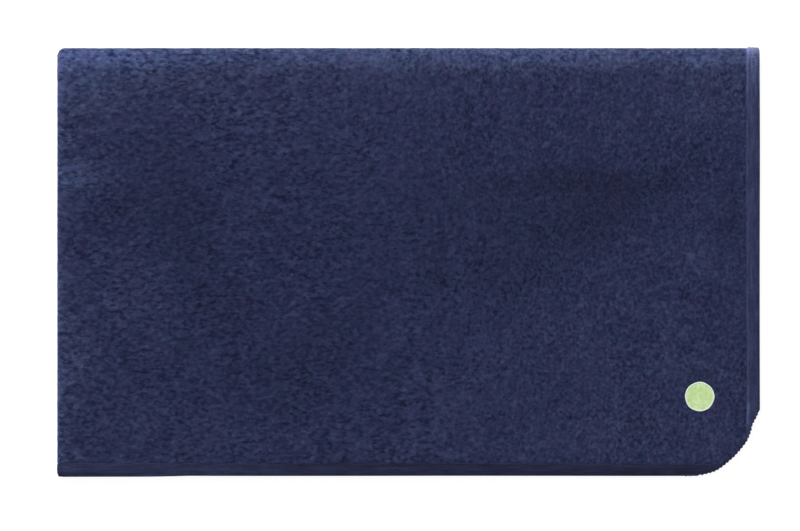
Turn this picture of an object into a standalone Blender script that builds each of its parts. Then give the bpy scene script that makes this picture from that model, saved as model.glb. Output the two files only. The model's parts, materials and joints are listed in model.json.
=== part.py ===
"""Quick dry travel towel, lying flat and folded in quarters.

One plush cloth is folded twice, so it lies in four layers. The side hems are on the right (+X), the
end hems are at the front (-Y), and the four rounded corners of the cloth meet at the front right.
The first fold is the left edge. It joins layers 1-2 and 3-4. The last fold is the back edge. It wraps
layer 4 round to layer 1, outside the fold that joins layers 2-3.

Metres, +Z up. The origin is under the middle of the folded towel, on the surface that it lies on.
"""

import math

import bmesh
import bpy
from mathutils import Matrix

MM = 0.001

# Folded towel, seen from above
FOLDED_LENGTH = 750.0 * MM
FOLDED_WIDTH = 456.5 * MM
CORNER_RADIUS = 82.0 * MM

# Cloth, hems and sewing
CLOTH_THICKNESS = 3.5 * MM
HEM_WIDTH = 12.5 * MM
HEM_THICKNESS = 2.8 * MM
EDGING_WIDTH = 3.5 * MM
EDGING_THICKNESS = 2.8 * MM
THREAD_DIAMETER = 0.5 * MM
THREAD_INSET = 1.6 * MM
THREAD_LIFT = 0.15 * MM
GAP = 0.3 * MM

# Round sewn-on label on the top layer, measured from the open edges
LABEL_DIAMETER = 33.5 * MM
LABEL_THICKNESS = 0.7 * MM
LABEL_FROM_SIDE = 64.0 * MM
LABEL_FROM_END = 84.5 * MM
LABEL_POCKET_DEPTH = 1.6 * MM
LABEL_THREAD_DIAMETER = 0.5 * MM

LAYERS = ("bottom", "lower_inner", "upper_inner", "top")

# Places that follow from the sizes above
RIGHT = FOLDED_LENGTH / 2
FRONT = -FOLDED_WIDTH / 2
LAYER_PITCH = CLOTH_THICKNESS + GAP
STACK_HEIGHT = len(LAYERS) * CLOTH_THICKNESS + (len(LAYERS) - 1) * GAP

SMALL_FOLD_RADIUS = CLOTH_THICKNESS + GAP / 2
LARGE_FOLD_RADIUS = STACK_HEIGHT / 2
LEFT_HINGE_X = -FOLDED_LENGTH / 2 + SMALL_FOLD_RADIUS + GAP / 2
BACK_HINGE_Y = FOLDED_WIDTH / 2 - LARGE_FOLD_RADIUS - GAP / 2
CLOTH_LEFT = LEFT_HINGE_X + GAP / 2
CLOTH_BACK = BACK_HINGE_Y - GAP / 2

CORNER_X = RIGHT - CORNER_RADIUS
CORNER_Y = FRONT + CORNER_RADIUS
INSIDE_EDGING = CORNER_RADIUS - EDGING_WIDTH - GAP

ARC_STEPS = 10
FOLD_STEPS = 12


def clear_scene():
    for old in list(bpy.data.objects):
        bpy.data.objects.remove(old, do_unlink=True)


def new_collection(name):
    collection = bpy.data.collections.new(name)
    bpy.context.scene.collection.children.link(collection)
    return collection


def make_material(name, colour, roughness):
    material = bpy.data.materials.new(name)
    material.use_nodes = True
    shader = material.node_tree.nodes["Principled BSDF"]
    shader.inputs["Base Color"].default_value = (*colour, 1.0)
    shader.inputs["Roughness"].default_value = roughness
    shader.inputs["Metallic"].default_value = 0.0
    return material


def arc(centre, radius, start, end, steps):
    """Points on a circle, from one angle to another, in radians."""
    angles = [start + (end - start) * i / steps for i in range(steps + 1)]
    return [(centre[0] + radius * math.cos(a), centre[1] + radius * math.sin(a)) for a in angles]


def curve_to_mesh(curve_object):
    """A mesh object in place of a curve object, with its caps welded on."""
    evaluated = curve_object.evaluated_get(bpy.context.evaluated_depsgraph_get())
    mesh = bpy.data.meshes.new_from_object(evaluated)
    welded = bmesh.new()
    welded.from_mesh(mesh)
    bmesh.ops.remove_doubles(welded, verts=welded.verts, dist=0.00001)
    bmesh.ops.recalc_face_normals(welded, faces=welded.faces)
    welded.to_mesh(mesh)
    welded.free()
    name = curve_object.name
    matrix = curve_object.matrix_world.copy()
    bpy.data.objects.remove(curve_object, do_unlink=True)
    mesh_object = bpy.data.objects.new(name, mesh)
    mesh_object.matrix_world = matrix
    return mesh_object


def extruded(name, outline, thickness, placement, material, collection, rounding=0.0):
    """A flat outline given a thickness about its own plane, with its edges rounded."""
    curve = bpy.data.curves.new(name, "CURVE")
    curve.dimensions = "2D"
    curve.fill_mode = "BOTH"
    curve.extrude = thickness / 2
    curve.resolution_u = 1
    spline = curve.splines.new("POLY")
    spline.points.add(len(outline) - 1)
    for point, (x, y) in zip(spline.points, outline):
        point.co = (x, y, 0.0, 1.0)
    spline.use_cyclic_u = True

    curve_object = bpy.data.objects.new(name, curve)
    curve_object.matrix_world = placement
    collection.objects.link(curve_object)
    bpy.context.view_layer.update()
    solid = curve_to_mesh(curve_object)
    solid.data.materials.append(material)
    collection.objects.link(solid)

    if rounding:
        bevel = solid.modifiers.new("rounded_edges", "BEVEL")
        bevel.width = rounding
        bevel.segments = 2
        bevel.limit_method = "ANGLE"
        bevel.angle_limit = math.radians(40.0)
    return solid


def layer_bottom(layer):
    return layer * LAYER_PITCH


def layer_middle(layer):
    return layer_bottom(layer) + CLOTH_THICKNESS / 2


def side_hem_outline():
    """The straight band along +X, which the edging of the rounded corner cuts off."""
    inner = RIGHT - HEM_WIDTH
    meets_inner = -math.acos((inner - CORNER_X) / INSIDE_EDGING)
    cut = arc((CORNER_X, CORNER_Y), INSIDE_EDGING, meets_inner, 0.0, ARC_STEPS)
    end = CORNER_Y + GAP / 2
    cut[-1] = (cut[-1][0], end)
    return cut + [(RIGHT, end), (RIGHT, CLOTH_BACK), (inner, CLOTH_BACK)]


def end_hem_outline():
    """The straight band along -Y, which the edging of the rounded corner cuts off."""
    inner = FRONT + HEM_WIDTH
    meets_inner = -math.asin((CORNER_Y - inner) / INSIDE_EDGING)
    cut = arc((CORNER_X, CORNER_Y), INSIDE_EDGING, -math.pi / 2, meets_inner, ARC_STEPS)
    end = CORNER_X - GAP / 2
    cut[0] = (end, cut[0][1])
    return cut + [(CLOTH_LEFT, inner), (CLOTH_LEFT, FRONT), (end, FRONT)]


def cloth_outline():
    """The plush cloth inside the hems and the corner's edging."""
    right = RIGHT - HEM_WIDTH - GAP
    front = FRONT + HEM_WIDTH + GAP
    start = -math.asin((CORNER_Y - front) / INSIDE_EDGING)
    end = -math.acos((right - CORNER_X) / INSIDE_EDGING)
    corner = arc((CORNER_X, CORNER_Y), INSIDE_EDGING, start, end, ARC_STEPS)
    return corner + [(right, CLOTH_BACK), (CLOTH_LEFT, CLOTH_BACK), (CLOTH_LEFT, front)]


def corner_edging_outline():
    """The narrow overlocked edge round the rounded corner, between the two hems."""
    clearance = GAP / 2 / CORNER_RADIUS
    start = -math.pi / 2 + clearance
    end = -clearance
    steps = 2 * ARC_STEPS
    centre = (CORNER_X, CORNER_Y)
    outer = arc(centre, CORNER_RADIUS, start, end, steps)
    inner = arc(centre, CORNER_RADIUS - EDGING_WIDTH, end, start, steps)
    return outer + inner


def make_seam_thread(name, start, end, material, collection):
    """A straight run of hem stitching, as one round thread."""
    curve = bpy.data.curves.new(name, "CURVE")
    curve.dimensions = "3D"
    curve.bevel_depth = THREAD_DIAMETER / 2
    curve.bevel_resolution = 2
    curve.use_fill_caps = True
    spline = curve.splines.new("POLY")
    spline.points.add(1)
    spline.points[0].co = (*start, 1.0)
    spline.points[1].co = (*end, 1.0)
    curve_object = bpy.data.objects.new(name, curve)
    collection.objects.link(curve_object)
    bpy.context.view_layer.update()
    thread = curve_to_mesh(curve_object)
    thread.data.materials.append(material)
    collection.objects.link(thread)
    return thread


def make_layer(layer, materials, collection):
    """One quarter of the towel: its cloth, two hems, corner edging and two seam threads."""
    name = LAYERS[layer]
    middle = Matrix.Translation((0.0, 0.0, layer_middle(layer)))
    cloth = extruded(
        name + "_cloth", cloth_outline(), CLOTH_THICKNESS, middle, materials["plush"], collection,
        rounding=0.4 * MM,
    )
    extruded(
        name + "_side_hem", side_hem_outline(), HEM_THICKNESS, middle, materials["hem"], collection,
        rounding=1.0 * MM,
    )
    extruded(
        name + "_end_hem", end_hem_outline(), HEM_THICKNESS, middle, materials["hem"], collection,
        rounding=1.0 * MM,
    )
    extruded(
        name + "_corner_edging", corner_edging_outline(), EDGING_THICKNESS, middle,
        materials["thread"], collection, rounding=0.9 * MM,
    )

    height = layer_middle(layer) + HEM_THICKNESS / 2 + THREAD_LIFT + THREAD_DIAMETER / 2
    side_x = RIGHT - HEM_WIDTH + THREAD_INSET
    end_y = FRONT + HEM_WIDTH - THREAD_INSET
    reach = math.sqrt(INSIDE_EDGING**2 - (side_x - CORNER_X) ** 2)
    make_seam_thread(
        name + "_side_thread",
        (side_x, CORNER_Y - reach + 2 * MM, height),
        (side_x, CLOTH_BACK - 1 * MM, height),
        materials["thread"],
        collection,
    )
    make_seam_thread(
        name + "_end_thread",
        (CLOTH_LEFT + 1 * MM, end_y, height),
        (CORNER_X + reach - 2 * MM, end_y, height),
        materials["thread"],
        collection,
    )
    return cloth


def make_left_fold(name, lower_layer, material, collection):
    """The half round that joins two layers at the left edge."""
    height = (layer_middle(lower_layer) + layer_middle(lower_layer + 1)) / 2
    outline = arc((0.0, 0.0), SMALL_FOLD_RADIUS, math.pi / 2, 3 * math.pi / 2, FOLD_STEPS)
    length = CLOTH_BACK - FRONT
    centre = (LEFT_HINGE_X - GAP / 2, (CLOTH_BACK + FRONT) / 2, height)
    placement = Matrix.Translation(centre) @ Matrix.Rotation(math.pi / 2, 4, "X")
    extruded(name, outline, length, placement, material, collection)


def make_back_fold(name, outline, material, collection):
    """A strip of the back edge's fold: an outline in Y and Z, run along the whole edge."""
    length = RIGHT - CLOTH_LEFT
    centre = ((RIGHT + CLOTH_LEFT) / 2, BACK_HINGE_Y + GAP / 2, STACK_HEIGHT / 2)
    stand_up = Matrix.Rotation(math.pi / 2, 4, "Z") @ Matrix.Rotation(math.pi / 2, 4, "X")
    placement = Matrix.Translation(centre) @ stand_up
    extruded(name, outline, length, placement, material, collection)


def inner_back_fold_outline():
    return arc((0.0, 0.0), SMALL_FOLD_RADIUS, -math.pi / 2, math.pi / 2, FOLD_STEPS)


def outer_back_fold_outline(upper):
    """Half of the outer wrap, from the hinge height up to the top layer or down to the bottom one."""
    inner_radius = LARGE_FOLD_RADIUS - CLOTH_THICKNESS
    clearance = GAP / 2 / inner_radius
    sign = 1.0 if upper else -1.0
    lift = 0.0 if upper else 0.2 * MM
    outer = arc((0.0, 0.0), LARGE_FOLD_RADIUS - lift, sign * clearance, sign * math.pi / 2, FOLD_STEPS)
    inner = arc((0.0, 0.0), inner_radius, sign * math.pi / 2, sign * clearance, FOLD_STEPS)
    return outer + inner


def make_label(cloth, materials, collection, cutters):
    """The round label, sunk in the pile of the top layer, and the thread that holds its rim."""
    x = RIGHT - LABEL_FROM_SIDE
    y = FRONT + LABEL_FROM_END
    top = STACK_HEIGHT
    radius = LABEL_DIAMETER / 2

    bpy.ops.mesh.primitive_cylinder_add(
        vertices=48, radius=radius + GAP, depth=2 * LABEL_POCKET_DEPTH, location=(x, y, top)
    )
    pocket = bpy.context.object
    pocket.name = "label_pocket_cutter"
    pocket.hide_render = True
    pocket.display_type = "WIRE"
    for owner in list(pocket.users_collection):
        owner.objects.unlink(pocket)
    cutters.objects.link(pocket)
    cut = cloth.modifiers.new("label_pocket", "BOOLEAN")
    cut.operation = "DIFFERENCE"
    cut.object = pocket
    cut.solver = "EXACT"

    low = top - LABEL_POCKET_DEPTH + GAP
    disc_outline = arc((0.0, 0.0), radius, 0.0, 2 * math.pi, 48)[:-1]
    extruded(
        "label_disc", disc_outline, LABEL_THICKNESS,
        Matrix.Translation((x, y, low + LABEL_THICKNESS / 2)), materials["label"], collection,
        rounding=0.25 * MM,
    )

    thread_radius = LABEL_THREAD_DIAMETER / 2
    bpy.ops.mesh.primitive_torus_add(
        major_radius=radius - 2 * thread_radius,
        minor_radius=thread_radius,
        major_segments=48,
        minor_segments=8,
        location=(x, y, low + LABEL_THICKNESS + THREAD_LIFT + thread_radius),
    )
    ring = bpy.context.object
    ring.name = "label_thread"
    ring.data.materials.append(materials["label_thread"])
    for owner in list(ring.users_collection):
        owner.objects.unlink(ring)
    collection.objects.link(ring)
    ring.data.shade_smooth()


def build():
    clear_scene()
    parts = new_collection("quick_dry_towel")
    cutters = new_collection("cutters")
    materials = {
        "plush": make_material("navy_plush", (0.024, 0.028, 0.075), 0.95),
        "hem": make_material("navy_hem", (0.028, 0.034, 0.085), 0.8),
        "thread": make_material("navy_thread", (0.022, 0.026, 0.07), 0.7),
        "label": make_material("green_label", (0.52, 0.69, 0.33), 0.8),
        "label_thread": make_material("pale_green_thread", (0.68, 0.78, 0.56), 0.7),
    }

    for layer in range(len(LAYERS)):
        cloth = make_layer(layer, materials, parts)
    make_label(cloth, materials, parts, cutters)

    make_left_fold("left_fold_lower", 0, materials["plush"], parts)
    make_left_fold("left_fold_upper", 2, materials["plush"], parts)
    make_back_fold("back_fold_inner", inner_back_fold_outline(), materials["plush"], parts)
    for name, upper in (("back_fold_outer_lower", False), ("back_fold_outer_upper", True)):
        make_back_fold(name, outer_back_fold_outline(upper), materials["plush"], parts)


build()
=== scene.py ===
"""Looks of the quick dry towel: plush navy cloth folded in quarters, on a white floor, from straight above.

The four layers of the cloth, their hems and folds stand in for the CAD solids. Each layer has two skins
of pile, a face and a back. Pile, nap and edges come from smooth noise that is the same on each run.
"""

import json
import math

import bpy
import numpy as np
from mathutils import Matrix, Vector


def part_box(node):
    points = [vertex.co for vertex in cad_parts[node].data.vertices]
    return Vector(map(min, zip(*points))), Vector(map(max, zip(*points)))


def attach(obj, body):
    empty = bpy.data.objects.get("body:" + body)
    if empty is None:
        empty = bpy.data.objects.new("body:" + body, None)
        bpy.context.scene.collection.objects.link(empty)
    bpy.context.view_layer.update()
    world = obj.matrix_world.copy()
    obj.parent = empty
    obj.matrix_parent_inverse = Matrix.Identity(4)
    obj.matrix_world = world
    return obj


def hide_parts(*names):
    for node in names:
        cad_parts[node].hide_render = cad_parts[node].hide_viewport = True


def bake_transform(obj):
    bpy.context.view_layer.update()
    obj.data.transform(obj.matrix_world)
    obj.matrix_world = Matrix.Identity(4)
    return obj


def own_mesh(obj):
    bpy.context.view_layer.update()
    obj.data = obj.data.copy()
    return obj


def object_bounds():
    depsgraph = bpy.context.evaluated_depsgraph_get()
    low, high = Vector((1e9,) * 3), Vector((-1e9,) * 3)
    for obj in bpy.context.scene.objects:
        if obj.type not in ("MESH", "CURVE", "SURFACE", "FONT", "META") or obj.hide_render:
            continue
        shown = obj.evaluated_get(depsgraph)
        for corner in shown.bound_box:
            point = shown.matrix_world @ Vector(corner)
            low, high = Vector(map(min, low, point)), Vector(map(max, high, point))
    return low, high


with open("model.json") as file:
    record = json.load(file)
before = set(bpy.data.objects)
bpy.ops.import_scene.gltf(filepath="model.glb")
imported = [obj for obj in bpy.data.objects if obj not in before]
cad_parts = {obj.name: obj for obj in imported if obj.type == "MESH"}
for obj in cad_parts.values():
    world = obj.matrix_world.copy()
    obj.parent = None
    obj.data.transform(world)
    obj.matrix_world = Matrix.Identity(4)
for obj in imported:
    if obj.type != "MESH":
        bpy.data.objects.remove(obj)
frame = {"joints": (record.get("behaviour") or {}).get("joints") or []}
cad_low, cad_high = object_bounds()

MM = 0.001

# (name of the layer in the CAD nodes, its body), from the floor up
LAYERS = (
    ("bottom", "bottom_panel"),
    ("lower_inner", "lower_inner_panel"),
    ("upper_inner", "upper_inner_panel"),
    ("top", "top_panel"),
)
TOP_LAYER = 3

# The folded edges where a layer's skin, its face (1) or its back (-1), runs on round to the next layer.
# At its other folded edges a skin is inside the fold.
RUNS_ROUND = {
    (0, 1): (), (0, -1): ("left", "back"),
    (1, 1): ("left",), (1, -1): ("back",),
    (2, 1): ("back",), (2, -1): ("left",),
    (3, 1): ("left", "back"), (3, -1): (),
}

# How far each layer's open edges lie inside the CAD model's
SIDE_DRIFT = (0.5 * MM, 1.6 * MM, 1.0 * MM, -0.9 * MM)
FRONT_DRIFT = (-0.2 * MM, 0.9 * MM, 1.5 * MM, -0.8 * MM)
# How far the front end of each layer's left fold draws back from the front edge
FOLD_END_LIFT = (0.0, 0.0, 1.9 * MM, 1.9 * MM)

# Places from the CAD model
LEFT, RIGHT = cad_low.x, cad_high.x
FRONT, BACK = cad_low.y, cad_high.y
CLOTH_BOXES = [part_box(name + "_cloth") for name, _ in LAYERS]
MIDDLES = [(low.z + high.z) / 2 for low, high in CLOTH_BOXES]
THICKNESS = CLOTH_BOXES[0][1].z - CLOTH_BOXES[0][0].z
STACK_TOP = CLOTH_BOXES[TOP_LAYER][1].z
STACK_MIDDLE = STACK_TOP / 2
JOINTS = {joint["name"]: joint for joint in frame["joints"]}
HINGE_X = JOINTS["left_fold"]["pos_m"][0]
HINGE_Y = JOINTS["top_fold"]["pos_m"][1]
SMALL_RADIUS = HINGE_X - LEFT
LARGE_RADIUS = BACK - HINGE_Y

side_hem_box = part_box("top_side_hem")
edging_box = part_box("top_corner_edging")
label_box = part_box("label_disc")
CAD_HEM_WIDTH = side_hem_box[1].x - side_hem_box[0].x
HEM_WIDTH = {"side": CAD_HEM_WIDTH + 2.8 * MM, "end": CAD_HEM_WIDTH + 1.3 * MM}
HEM_HALF_HEIGHT = (side_hem_box[1].z - side_hem_box[0].z) / 2
CORNER_RADIUS = edging_box[1].x - edging_box[0].x
CORNER_X = RIGHT - CORNER_RADIUS
CORNER_Y = FRONT + CORNER_RADIUS
EDGING_WIDTH = 2.4 * MM
LABEL_X = (label_box[0].x + label_box[1].x) / 2 + 0.4 * MM
LABEL_Y = (label_box[0].y + label_box[1].y) / 2 - 0.4 * MM
LABEL_RADIUS = (label_box[1].x - label_box[0].x) / 2

# Where the pile of the folds' strips meets their hems
SEAM_X = RIGHT - SIDE_DRIFT[TOP_LAYER] - HEM_WIDTH["side"]
SEAM_Y = FRONT + FRONT_DRIFT[TOP_LAYER] + HEM_WIDTH["end"]

# Pile: how deep it is pressed in on average, its relief, and the spacing of its points
PILE_MEAN = 0.55 * MM
PILE_RELIEF = 0.30 * MM
TOP_SPACING = 1.9 * MM
SPACING = 2.5 * MM
# how far the pile lies over the side hems and the end hems, and how ragged its edge is
SIDE_LAP = 1.8 * MM
END_LAP = 1.3 * MM
RAGGED = 0.8 * MM
# the raster of its height, which goes on past the quarter's edges and round the folds
FIELD_SPACING = 1.0 * MM
FIELD_MARGIN = 30.0 * MM

# The storage crease, and the short raised wrinkles at the left edge: y, and length along X
CREASE_Y = 94 * MM
CREASE_WIDTH = 1.7 * MM
WRINKLES = ((0.1022, 0.034), (0.0976, 0.027), (0.0840, 0.038))


# ---- curves and smooth noise

def smooth_step(edge_low, edge_high, value):
    t = np.clip((value - edge_low) / (edge_high - edge_low), 0, 1)
    return t * t * (3 - 2 * t)


def between(value, rise_from, rise_to, fall_from, fall_to):
    """1 in the middle, and smoothly down to 0 at both ends."""
    return smooth_step(rise_from, rise_to, value) * (1 - smooth_step(fall_from, fall_to, value))


def bell(distance, width):
    return np.exp(-((distance / width) ** 2))


def fading(distance, reach):
    """1 at no distance or behind it, and dying away in front."""
    return np.exp(-np.clip(distance, 0, None) / reach)


def turn_at(x, y):
    """0 where the strands lie along X, at the left and front, and 1 where they lie along Y, at the right."""
    return smooth_step(-0.10, 0.22, x + 0.35 * y + 0.03)


def raster_axes(spacing):
    """x in a row and y in a column, for a raster over one quarter and its margin."""
    cols = int((RIGHT - LEFT + 2 * FIELD_MARGIN) / spacing) + 2
    rows = int((BACK - FRONT + 2 * FIELD_MARGIN) / spacing) + 2
    x = LEFT - FIELD_MARGIN + np.arange(cols) * spacing
    y = FRONT - FIELD_MARGIN + np.arange(rows) * spacing
    return x[None, :], y[:, None]


def dabs(size, spacing, along, across, angle, seed):
    """Smooth random dabs on a raster, longer in one direction: white noise through a stretched blur."""
    noise = np.random.default_rng(seed).standard_normal(size)
    fy = np.fft.fftfreq(size[0], spacing)[:, None]
    fx = np.fft.fftfreq(size[1], spacing)[None, :]
    u = fx * math.cos(angle) + fy * math.sin(angle)
    v = -fx * math.sin(angle) + fy * math.cos(angle)
    gain = np.exp(-2 * (math.pi**2) * ((u * along) ** 2 + (v * across) ** 2))
    smooth = np.fft.ifft2(np.fft.fft2(noise) * gain).real
    return smooth / smooth.std()


def bilinear(raster, cols, rows, fx, fy):
    """A number between four points of a raster."""
    low, high = (raster[row, cols[0]] * (1 - fx) + raster[row, cols[1]] * fx for row in rows)
    return low * (1 - fy) + high * fy


class Field:
    """A raster of numbers over one side of a quarter of the cloth, read between its points."""

    def __init__(self, raster, spacing):
        self.raster = raster
        self.spacing = spacing

    def at(self, x, y):
        rows, cols = self.raster.shape
        gx = np.clip((np.asarray(x) - (LEFT - FIELD_MARGIN)) / self.spacing, 0, cols - 1.001)
        gy = np.clip((np.asarray(y) - (FRONT - FIELD_MARGIN)) / self.spacing, 0, rows - 1.001)
        i, j = gx.astype(int), gy.astype(int)
        return bilinear(self.raster, (i, i + 1), (j, j + 1), gx - i, gy - j)


def pile_field(seed):
    """Height of the pile, about -2 to 2, in small dabs that lie as the strands do."""
    x, y = raster_axes(FIELD_SPACING)
    size = y.size, x.size
    lying = dabs(size, FIELD_SPACING, 1.7 * MM, 1.0 * MM, 0.12, seed)
    steep = dabs(size, FIELD_SPACING, 1.3 * MM, 1.1 * MM, 1.45, seed + 1)
    tufts = dabs(size, FIELD_SPACING, 5.0 * MM, 3.2 * MM, 0.3, seed + 2)
    turn = turn_at(x, y) * math.pi / 2
    height = 0.95 * (lying * np.cos(turn) + steep * np.sin(turn)) + 0.25 * tufts
    return Field(np.clip(height, -2.2, 2.2), FIELD_SPACING)


def nap_field(seed, patches=()):
    """How dark or light the pile is brushed, in slow changes, with the patches given added on."""
    spacing = 4.0 * MM
    x, y = raster_axes(spacing)
    wide = dabs((y.size, x.size), spacing, 55.0 * MM, 40.0 * MM, 0.5, seed)
    narrow = dabs((y.size, x.size), spacing, 17.0 * MM, 11.0 * MM, 0.2, seed + 1)
    raster = 0.32 * wide + 0.25 * narrow
    for px, py, half_x, half_y, strength in patches:
        patch = bell(x - px * MM, half_x * MM) * bell(y - py * MM, half_y * MM)
        raster = raster + strength * patch
    return Field(raster, spacing)


# Patches of the top layer's pile, lighter or darker: x, y and half sizes in mm, and strength
# the strong ones at the top-left corner and at the left edge's wrinkles, and the long one along the left
# edge, are painted highlight; the rest are brushed nap
TOP_NAP_AND_HIGHLIGHTS = (
    (-335, 204, 45, 42, 4.8),
    (-250, 205, 60, 30, 1.9),
    (-200, 160, 35, 28, 0.9),
    (-263, 119, 50, 6, -1.4),
    (-346, 92, 28, 15, 5.0),
    (-300, 68, 18, 20, -1.2),
    (-242, 50, 28, 50, -1.2),
    (-235, -18, 20, 50, -1.0),
    (-280, -45, 38, 40, 2.1),
    (-352, -108, 25, 25, 2.3),
    (-325, -175, 25, 30, -0.7),
    (-146, -142, 55, 50, -1.4),
    (58, -145, 22, 22, 1.2),
    (97, -178, 18, 18, -1.3),
    (30, -11, 24, 22, -1.3),
    (113, -21, 15, 18, -0.9),
    (190, 45, 55, 36, -1.0),
    (280, 80, 26, 14, -1.6),
    (312, 110, 11, 18, -1.3),
    (346, 53, 10, 50, -1.5),
    (207, 139, 28, 36, 0.9),
    (253, 160, 11, 28, -1.3),
    (320, 185, 38, 32, 1.9),
    (310, 0, 40, 30, 1.3),
    (250, -100, 110, 90, 1.9),
    (110, 165, 110, 45, -1.1),
    (-100, 20, 100, 200, -0.5),
    (-335, 30, 60, 200, 0.5),
    (0, 60, 600, 80, -0.7),
    (0, -190, 600, 50, 1.4),
)


# ---- mesh helpers

def quads(rows, cols, wrap=False):
    """Faces of a grid of points given row by row. With wrap, the last column joins the first."""
    spans = cols if wrap else cols - 1
    r, c = np.meshgrid(np.arange(rows - 1), np.arange(spans), indexing="ij")
    n = (c + 1) % cols
    corners = [r * cols + c, r * cols + n, (r + 1) * cols + n, (r + 1) * cols + c]
    return np.stack(corners, axis=-1).reshape(-1, 4)


def capped(rows, cols, flip=False):
    """Faces of closed loops row after row, with an end face on the first and the last."""
    faces = quads(rows, cols, wrap=True).tolist()
    faces.append(list(range(cols))[::-1])
    faces.append([(rows - 1) * cols + c for c in range(cols)])
    return [face[::-1] for face in faces] if flip else faces


def repeated(faces, count, points_each):
    """The faces of count equal tubes, whose points follow one another."""
    return [[tube * points_each + i for i in face] for tube in range(count) for face in faces]


def settle(points):
    """The stack keeps its height at its two folded edges, and lies a little lower and unevenly elsewhere."""
    p = np.array(points, float)
    x, y = p[:, 0], p[:, 1]
    away = (1 - fading(HINGE_Y - y, 70 * MM)) * (1 - fading(x - HINGE_X, 70 * MM))
    waves = 0.040 * np.sin(x / 0.052 + y / 0.090 + 0.6) + 0.035 * np.sin(y / 0.047 - x / 0.110 + 2.0)
    p[:, 2] *= 1 - away * (0.06 + waves)
    return p


def add_mesh(name, points, faces, material, attributes=None):
    """A smooth-shaded piece of the settled towel, with a number at each point for each attribute."""
    mesh = bpy.data.meshes.new(name)
    mesh.from_pydata(settle(points).tolist(), [], faces)
    mesh.materials.append(MATERIALS[material])
    mesh.shade_smooth()
    mesh.set_sharp_from_angle(angle=math.radians(72))
    for key, values in (attributes or {}).items():
        layer = mesh.attributes.new(key, "FLOAT", "POINT")
        layer.data.foreach_set("value", np.asarray(values, np.float32))
    mesh.validate()
    piece = bpy.data.objects.new(name, mesh)
    bpy.context.scene.collection.objects.link(piece)
    return piece


# ---- the outline of the open edges

def side_edge(layer, y):
    drawn_in = 0.5 * MM * fading(BACK - y, 25 * MM)
    return RIGHT - SIDE_DRIFT[layer] - drawn_in + 0.12 * MM * np.sin(y / 0.043 + 1.7 * layer)


def front_edge(layer, x):
    peeps_out = 0.0 if layer == TOP_LAYER else 2.25 * MM
    left_part = 1 - smooth_step(-0.29, -0.17, np.asarray(x, float))
    lifted_end = FOLD_END_LIFT[layer] * (1 - smooth_step(0.0, 20 * MM, x - LEFT))
    wave = 0.12 * MM * np.sin(x / 0.057 + 2.3 * layer)
    return FRONT + FRONT_DRIFT[layer] - peeps_out * left_part + wave + lifted_end


def corner_point(layer, angle, inset):
    """A point on the rounded corner, that far inside its edge. angle is below the +X axis, in degrees."""
    dent = -2.5 * MM * bell(angle - 20.5, 7.5)
    bulge = 2.4 * MM * bell(angle - 66, 13)
    drift = 0.5 * (SIDE_DRIFT[layer] + FRONT_DRIFT[layer])
    radius = CORNER_RADIUS + (dent + bulge) - inset - drift
    a = np.radians(angle)
    return CORNER_X + radius * np.cos(a), CORNER_Y - radius * np.sin(a)


def corner_front(layer, x, inset):
    """y of the rounded corner's edge at each x, and well in front of the towel to the left of the corner."""
    cx, cy = corner_point(layer, np.linspace(8, 92, 600), inset)
    order = np.argsort(cx)
    return np.interp(x, cx[order], cy[order], left=-1.0)


def corner_side(layer, y, inset):
    """x of the rounded corner's edge at each y."""
    cx, cy = corner_point(layer, np.linspace(-2, 82, 600), inset)
    order = np.argsort(cy)
    return np.interp(y, cy[order], cx[order])


# ---- materials

def new_material(name, roughness, sheen=0.0, sheen_tint=(1, 1, 1, 1), sheen_roughness=0.5):
    material = bpy.data.materials.new(name)
    material.use_nodes = True
    shader = material.node_tree.nodes["Principled BSDF"]
    shader.inputs["Roughness"].default_value = roughness
    shader.inputs["Specular IOR Level"].default_value = 0.15
    shader.inputs["Sheen Weight"].default_value = sheen
    shader.inputs["Sheen Tint"].default_value = sheen_tint
    shader.inputs["Sheen Roughness"].default_value = sheen_roughness
    return material, material.node_tree, shader


def add_node(tree, kind, inputs=None, **settings):
    """A node with its settings. Each of its inputs is set to a value, or joined to a socket."""
    node = tree.nodes.new("ShaderNode" + kind)
    for key, value in settings.items():
        setattr(node, key, value)
    for key, value in (inputs or {}).items():
        if isinstance(value, bpy.types.NodeSocket):
            tree.links.new(value, node.inputs[key])
        else:
            node.inputs[key].default_value = value
    return node


def stretched_noise(tree, stretch, scale, detail=3.0, turn=0.0):
    """Noise in the towel's own coordinates, squeezed so that its dabs are long in one direction."""
    place = add_node(tree, "TexCoord").outputs["Object"]
    turned = {"Vector": place, "Scale": stretch, "Rotation": (0.0, 0.0, turn)}
    squeezed = add_node(tree, "Mapping", turned).outputs["Vector"]
    looks = {"Vector": squeezed, "Scale": scale, "Detail": detail, "Roughness": 0.6}
    return add_node(tree, "TexNoise", looks).outputs["Fac"]


def even_noise(tree, scale, detail):
    return stretched_noise(tree, (1.0, 1.0, 1.0), scale, detail)


def mixed(tree, factor, first, second):
    """A number between two numbers."""
    return add_node(tree, "Mix", {0: factor, 2: first, 3: second}, data_type="FLOAT").outputs[0]


def maths(tree, operation, *values):
    return add_node(tree, "Math", dict(enumerate(values)), operation=operation).outputs[0]


def multiplied(tree, first, second):
    """A colour times a colour."""
    return add_node(tree, "VectorMath", {0: first, 1: second}, operation="MULTIPLY").outputs["Vector"]


def attribute(tree, name):
    return add_node(tree, "Attribute", attribute_name=name).outputs["Fac"]


def ramp(tree, factor, stops):
    """A colour for each number, from stops of a place and a colour."""
    node = add_node(tree, "ValToRGB", {"Fac": factor})
    elements = node.color_ramp.elements
    while len(elements) < len(stops):
        elements.new(0.5)
    for element, (position, colour) in zip(elements, stops):
        element.position = position
        element.color = (*colour, 1.0)
    return node.outputs["Color"]


def dress(tree, shader, colour, height, depth):
    """Gives the shader its colour, and a bump of the height times the depth."""
    tree.links.new(colour, shader.inputs["Base Color"])
    bump = add_node(tree, "Bump", {"Height": height, "Distance": depth})
    tree.links.new(bump.outputs["Normal"], shader.inputs["Normal"])
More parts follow.
